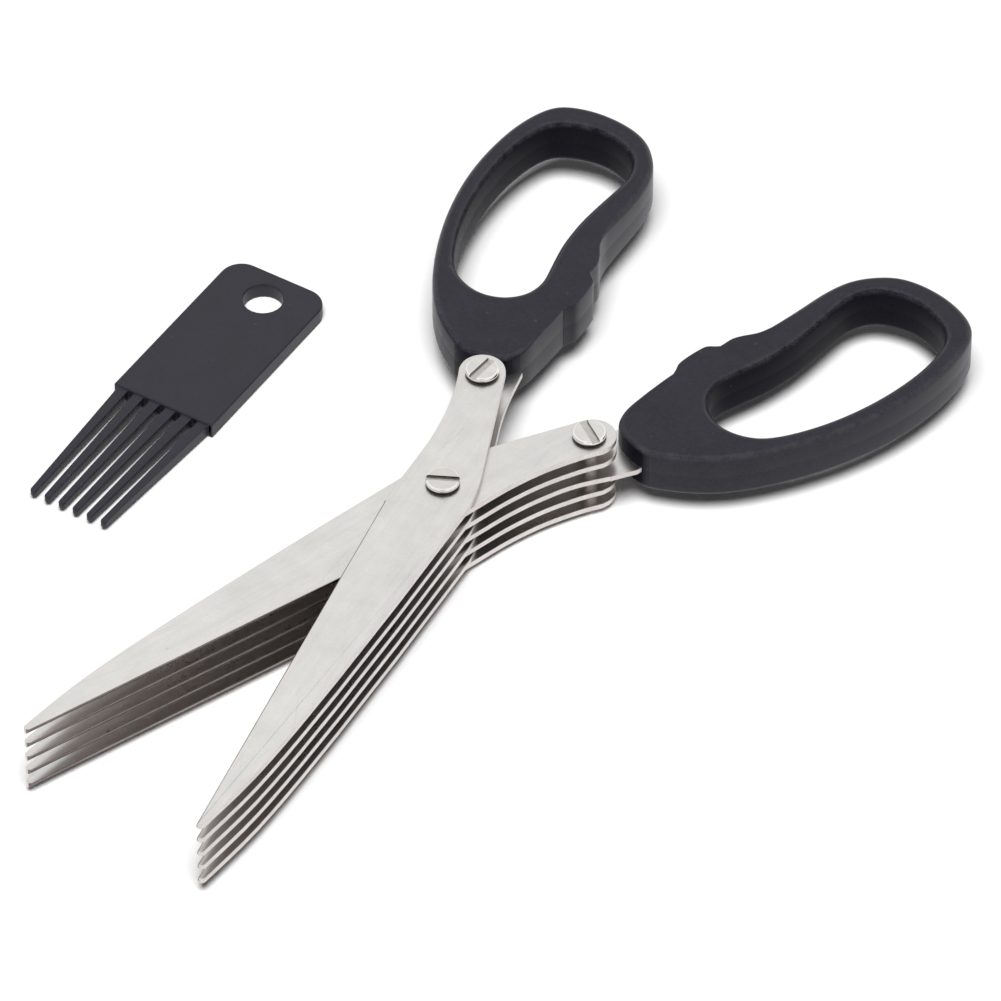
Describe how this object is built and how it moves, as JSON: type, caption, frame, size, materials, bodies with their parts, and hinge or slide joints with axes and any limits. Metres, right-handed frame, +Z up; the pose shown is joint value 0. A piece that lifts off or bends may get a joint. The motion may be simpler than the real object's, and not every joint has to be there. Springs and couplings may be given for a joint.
{
  "type": "herb scissors",
  "caption": "Multi-blade herb scissors: two stacks of steel blades on one slotted pivot screw, two black finger-loop handles, and a flat plastic cleaning comb.",
  "frame": {"origin": "on the pivot axis, at the underside of the pivot cap nut, which rests on the table", "axes": "+Z up along the pivot axis, +Y from the pivot towards the handles, midway between the two halves, +X towards the right half's handle"},
  "size_m": [0.1253, 0.1877, 0.018],
  "materials": {
    "blade_steel": "fine satin, cut edges brighter",
    "fastener_steel": "bright nickel plate",
    "handle_plastic": "black, satin, fine moulded grain",
    "comb_plastic": "black, matt"
  },
  "bodies": {
    "right_half": {"pivot_cap_nut": "fastener_steel", "pivot_screw": "fastener_steel", "pivot_washer_1": "fastener_steel", "pivot_washer_2": "fastener_steel", "pivot_washer_3": "fastener_steel", "pivot_washer_4": "fastener_steel", "right_blade_1": "blade_steel", "right_blade_2": "blade_steel", "right_blade_3": "blade_steel", "right_blade_4": "blade_steel", "right_blade_5": "blade_steel", "right_handle": "handle_plastic", "right_rear_cap_nut": "fastener_steel", "right_rear_screw": "fastener_steel", "right_spacer_1": "fastener_steel", "right_spacer_2": "fastener_steel", "right_spacer_3": "fastener_steel", "right_spacer_4": "fastener_steel"},
    "left_half": {"left_blade_1": "blade_steel", "left_blade_2": "blade_steel", "left_blade_3": "blade_steel", "left_blade_4": "blade_steel", "left_blade_5": "blade_steel", "left_handle": "handle_plastic", "left_rear_cap_nut": "fastener_steel", "left_rear_screw": "fastener_steel", "left_spacer_1": "fastener_steel", "left_spacer_2": "fastener_steel", "left_spacer_3": "fastener_steel", "left_spacer_4": "fastener_steel"},
    "cleaning_comb": {"cleaning_comb": "comb_plastic"}
  },
  "joints": [
    {"name": "pivot", "type": "hinge", "parent": "right_half", "child": "left_half", "pos_m": [0, 0, 0], "axis": [0, 0, 1], "range_deg": [-23.4, 45]},
    {"name": "comb_lift", "type": "slide", "parent": "right_half", "child": "cleaning_comb", "axis": [0, 0, 1], "range_m": [0, 0.06]}
  ]
}
